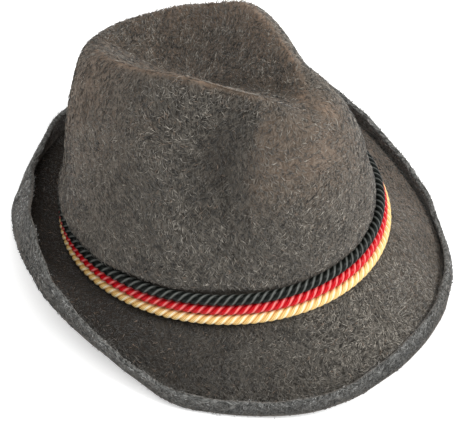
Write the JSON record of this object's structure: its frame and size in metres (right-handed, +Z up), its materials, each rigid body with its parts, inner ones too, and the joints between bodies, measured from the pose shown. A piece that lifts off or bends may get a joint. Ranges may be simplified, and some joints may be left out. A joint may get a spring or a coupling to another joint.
{
  "type": "tyrolean hat",
  "caption": "Felt hat with a tall creased crown, a brim turned up in a small lip, and a band of twisted cords round the foot of the crown.",
  "frame": {"origin": "middle of the hat's outline on the surface that it rests on", "axes": "+Z up, -Y towards the front of the hat, +X towards the wearer's left side"},
  "size_m": [0.2459, 0.2888, 0.1772],
  "materials": {
    "felt": "grey-brown hair felt with a short soft nap",
    "cord_black": "black satin twisted cord",
    "cord_red": "red satin twisted cord",
    "cord_gold": "pale gold satin twisted cord"
  },
  "bodies": {
    "root": {"felt_body": "felt", "cord_black": "cord_black", "cord_red": "cord_red", "cord_gold": "cord_gold"}
  },
  "joints": []
}
